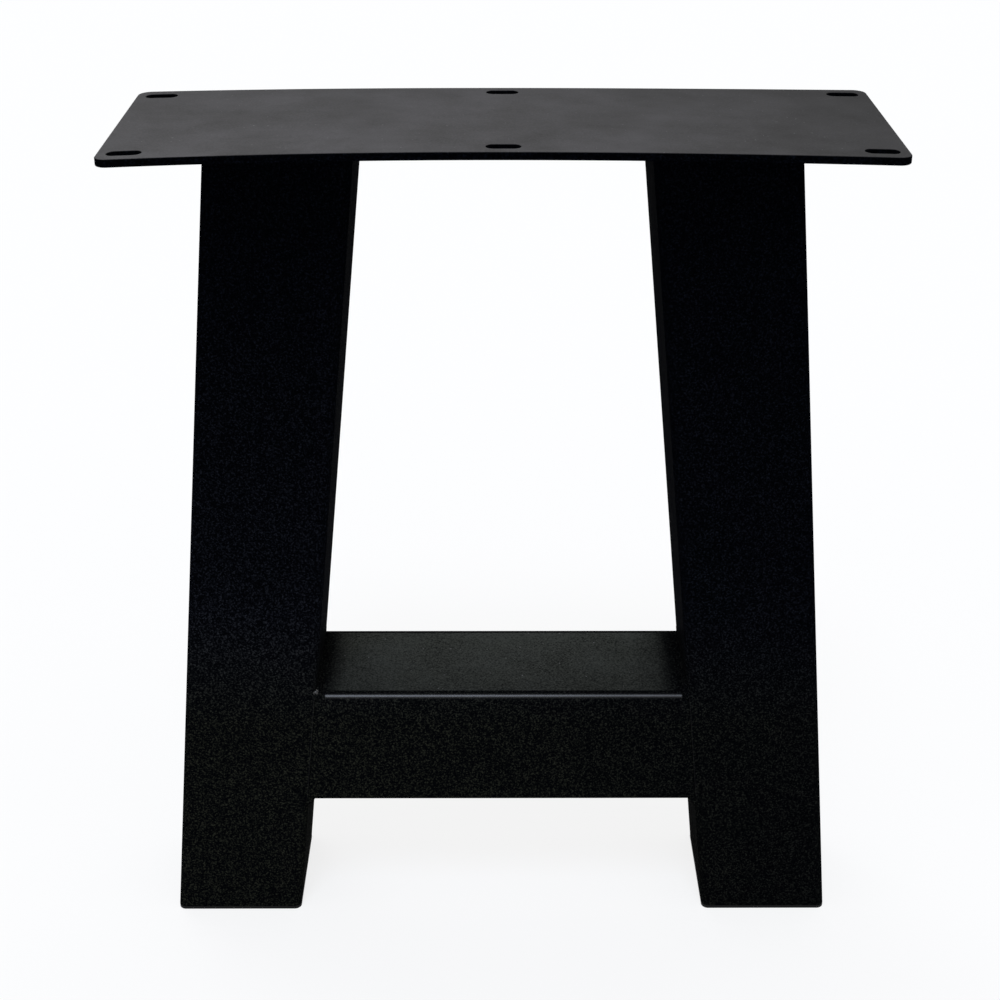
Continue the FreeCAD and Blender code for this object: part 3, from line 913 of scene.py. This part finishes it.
def bead_base(name, path, profile, solids=()):
    """Mesh that holds a bead's closed path and outline, and solids that belong to the weld.

    Each place of the path is a point, the way that the bead faces there and its width.
    Each solid is points, faces and how rubbed each point is.
    """
    count, corners = len(path), len(profile)
    points = [point for point, _, _ in path] + [Vector((p.x, p.y, 0)) for p in profile]
    edges = [(i, (i + 1) % count) for i in range(count)]
    edges += [(count + i, count + (i + 1) % corners) for i in range(corners)]
    faces = []
    marks = {"path": [1.0] * count + [0.0] * corners,
             "profile": [0.0] * count + [1.0] * corners,
             "solid": [0.0] * (count + corners),
             "width": [width for _, _, width in path] + [1.0] * corners,
             "rubbed": [0.0] * (count + corners)}
    for solid_points, solid_faces, rubbed in solids:
        start = len(points)
        points += solid_points
        faces += [tuple(start + i for i in face) for face in solid_faces]
        for mark, values in marks.items():
            values += rubbed if mark == "rubbed" else [float(mark == "solid")] * len(solid_points)
    mesh = bpy.data.meshes.new(name)
    mesh.from_pydata(points, edges, faces)
    mesh.polygons.foreach_set("use_smooth", [True] * len(faces))
    for mark, values in marks.items():
        mesh.attributes.new(mark, "FLOAT", "POINT").data.foreach_set("value", values)
    facing = [way for _, way, _ in path] + [Vector((0, 0, 1))] * (len(points) - count)
    mesh.attributes.new("facing", "FLOAT_VECTOR", "POINT").data.foreach_set(
        "vector", [c for way in facing for c in way])
    return mesh


def without_marks(piece):
    """Drop the marks that a bead's making needed."""
    for mark in ("path", "profile", "solid", "width", "facing"):
        found = piece.data.attributes.get(mark)
        if found is not None:
            piece.data.attributes.remove(found)


class TRESTLE_OT_plate_welds(bpy.types.Operator):
    """Run a rippled weld bead round the head of each leg, under the plate"""
    bl_idname = "trestle.plate_welds"
    bl_label = "Plate Welds"

    def execute(self, context):
        form = context.scene.trestle_form
        finish = context.scene.trestle_finish
        coat = powder_coat("plate_weld_coat", finish, finish.bar_dust_and_painted_sheen, BAR_DUST_AND_PAINTED_SHEEN, 1.06,
                           finish.coat_roughness, flow=0.12 * MM)
        tree = bead_tree()
        for word, side in SIDES.items():
            level = PLATE_LOW.z
            centre = side * leg_middle(level)
            ring = rounded_section(TUBE / COS_LEAN, TUBE, TUBE_CORNER, 6)
            path = [(Vector((centre + p.x, p.y, level)), Vector((out.x, out.y, 0)), 1.0)
                    for p, out in ring]
            profile = bead_profile(form.plate_bead, BEAD_ROOT)
            piece = add_object(word + "_plate_weld",
                               bead_base(word + "_plate_weld", path, profile))
            run_tree(piece, tree, {
                "Ripple Pitch": form.bead_pitch, "Ripple Depth": form.bead_depth,
                "Bow": form.plate_bow, "Half Length": PLATE_HIGH.x, "Seed": 3.0 + side,
                "Material": coat})
            without_marks(piece)
            finish_piece(piece, word + "_leg_plate_weld")
        return {"FINISHED"}


# Where the bead on the crossbar fades out and ends, short of the back edge.
BEAD_END = (0.045, 0.035)
# Width of the ground bead, in front, behind and past its end, as a share of the full bead.
GROUND_SHARE = 0.03


class TRESTLE_OT_bar_welds(bpy.types.Operator):
    """Run a weld bead round each end of the crossbar, ground flush front and back"""
    bl_idname = "trestle.bar_welds"
    bl_label = "Crossbar Welds"

    def execute(self, context):
        form = context.scene.trestle_form
        finish = context.scene.trestle_finish
        coat = powder_coat("bar_weld_coat", finish, finish.bar_dust_and_painted_sheen, BAR_DUST_AND_PAINTED_SHEEN, 1.006,
                           finish.coat_roughness + 0.2, flow=0.08 * MM)
        tree = bead_tree()
        middle = (BAR_LOW.z + BAR_HIGH.z) / 2
        for word, side in SIDES.items():
            path = []
            steps = 8
            section = rounded_section(TUBE, TUBE, TUBE_CORNER, steps)
            section[steps + 1:steps + 1] = [
                (Vector((y, TUBE / 2)), Vector((0, 1))) for y in BEAD_END]
            for point, out in section[::-side]:
                width = GROUND_SHARE + (1 - GROUND_SHARE) * min(1.0, 1.5 * abs(out.y)) ** 2
                if point.x > BEAD_END[1] and out.y > 0:
                    width = GROUND_SHARE
                sunk = point - out * (1 - width) * 1.5 * MM
                z = middle + sunk.y
                path.append((Vector((side * leg_inside(z), sunk.x, z)),
                             Vector((-side, 0, 0)), width))
            solids = [seam_fill(side, front) for front in (-1, 1)]
            if side == SIDES["left"]:
                tip = Vector((-leg_inside(BAR_HIGH.z) + 0.1 * MM, -TUBE / 2 + 1.8 * MM,
                              BAR_HIGH.z + 1.9 * MM))
                solids.append(drop_of_weld(tip, NUB_RADIUS))
            profile = bead_profile(form.bar_bead, BEAD_ROOT)
            piece = add_object(word + "_bar_weld",
                               bead_base(word + "_bar_weld", path, profile, solids))
            run_tree(piece, tree, {
                "Ripple Pitch": form.bead_pitch, "Ripple Depth": form.bead_depth,
                "Bow": 0.0, "Half Length": PLATE_HIGH.x, "Seed": 8.0 + side,
                "Material": coat})
            without_marks(piece)
            finish_piece(piece, word + "_crossbar_weld")
        return {"FINISHED"}


class TRESTLE_OT_foot_caps(bpy.types.Operator):
    """Build the foot caps, with a crisp lower edge, in moulded plastic"""
    bl_idname = "trestle.foot_caps"
    bl_label = "Foot Caps"

    def execute(self, context):
        form = context.scene.trestle_form
        plastic = moulded_plastic("foot_cap_plastic", context.scene.trestle_finish)
        for word, side in SIDES.items():
            node = word + "_foot_cap"
            mesh = cap_mesh(word + "_cap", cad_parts[node], side, form)
            piece = add_object(word + "_cap", mesh, plastic)
            finish_piece(piece, node)
        return {"FINISHED"}


FLOOR_REACH = 30.0
# Where the softboxes stand round the leg, how wide and how high the back one is, and the
# tints of their light.
FRONT_TURN, BACK_TURN = math.radians(186), math.radians(-36)
BACK_WIDTH, BACK_HEIGHT = math.radians(38), math.radians(34)
COOL_TINT, NO_TINT = (0.72, 0.81, 1.0), (1.0, 1.0, 1.0)


class TRESTLE_OT_stage(bpy.types.Operator):
    """Set the floor, the light and the camera"""
    bl_idname = "trestle.stage"
    bl_label = "Stage"

    def execute(self, context):
        scene, stage = context.scene, context.scene.trestle_stage
        floor = bpy.data.meshes.new("floor")
        corners = ((-1, -1), (1, -1), (1, 1), (-1, 1))
        floor.from_pydata([(FLOOR_REACH * x, FLOOR_REACH * y, 0) for x, y in corners],
                          [], [(0, 1, 2, 3)])
        paper = studio_floor("floor_paper", stage.floor_colour, stage.floor_whiteness)
        add_object("floor", floor, paper)

        world = bpy.data.worlds.new("studio")
        world.use_nodes = True
        nodes = Nodes(world.node_tree)
        strength = seen_directly(nodes) * (1 - stage.room_light) + stage.room_light
        room = nodes.make("ShaderNodeBackground", {}, {
            "Color": (1, 1, 1, 1), "Strength": strength})
        nodes.make("ShaderNodeOutputWorld", {}, {"Surface": room})
        scene.world = world

        for name, energy, width, height, turn, tint in (
                ("softbox", stage.lamp_light, stage.lamp_width, stage.lamp_height,
                 FRONT_TURN, COOL_TINT),
                ("back_softbox", stage.back_light, BACK_WIDTH, BACK_HEIGHT,
                 BACK_TURN, NO_TINT)):
            lamp = bpy.data.lights.new(name, "SUN")
            lamp.energy = energy
            lamp.angle = width
            lamp.color = tint
            softbox = bpy.data.objects.new(name, lamp)
            scene.collection.objects.link(softbox)
            toward = Vector((math.cos(height) * math.sin(turn),
                             math.cos(height) * math.cos(turn), math.sin(height)))
            softbox.rotation_euler = toward.to_track_quat("Z", "Y").to_euler()

        camera = bpy.data.objects.new("camera", bpy.data.cameras.new("camera"))
        camera.data.sensor_width = 36
        camera.data.lens = stage.lens
        scene.collection.objects.link(camera)
        turn = (Matrix.Rotation(-stage.camera_yaw, 4, "Z")
                @ Matrix.Rotation(math.pi / 2 - stage.camera_pitch, 4, "X")
                @ Matrix.Rotation(stage.camera_roll, 4, "Z"))
        camera.matrix_world = Matrix.Translation(Vector(stage.camera_place)) @ turn
        scene.camera = camera
        scene.view_settings.view_transform = "Standard"
        return {"FINISHED"}


class TRESTLE_PT_sidebar(bpy.types.Panel):
    """Lists the steps that build the leg"""
    bl_label = "Trestle Leg"
    bl_space_type = "VIEW_3D"
    bl_region_type = "UI"
    bl_category = "Trestle"

    def draw(self, context):
        for step in STEPS:
            self.layout.operator(step.bl_idname)


STEPS = (TRESTLE_OT_top_plate, TRESTLE_OT_tubes, TRESTLE_OT_plate_welds, TRESTLE_OT_bar_welds,
         TRESTLE_OT_foot_caps, TRESTLE_OT_stage)
GROUPS = {"trestle_form": TrestleForm, "trestle_finish": TrestleFinish,
          "trestle_stage": TrestleStage}


def register():
    for group in GROUPS.values():
        bpy.utils.register_class(group)
    for name, group in GROUPS.items():
        setattr(bpy.types.Scene, name, PointerProperty(type=group))
    for kind in (*STEPS, TRESTLE_PT_sidebar):
        bpy.utils.register_class(kind)


def unregister():
    for kind in (TRESTLE_PT_sidebar, *reversed(STEPS)):
        bpy.utils.unregister_class(kind)
    for name, group in GROUPS.items():
        delattr(bpy.types.Scene, name)
        bpy.utils.unregister_class(group)


def main():
    """Build every piece and the stage."""
    register()
    bpy.ops.trestle.top_plate()
    bpy.ops.trestle.tubes()
    bpy.ops.trestle.plate_welds()
    bpy.ops.trestle.bar_welds()
    bpy.ops.trestle.foot_caps()
    bpy.ops.trestle.stage()


if __name__ == "__main__":
    main()
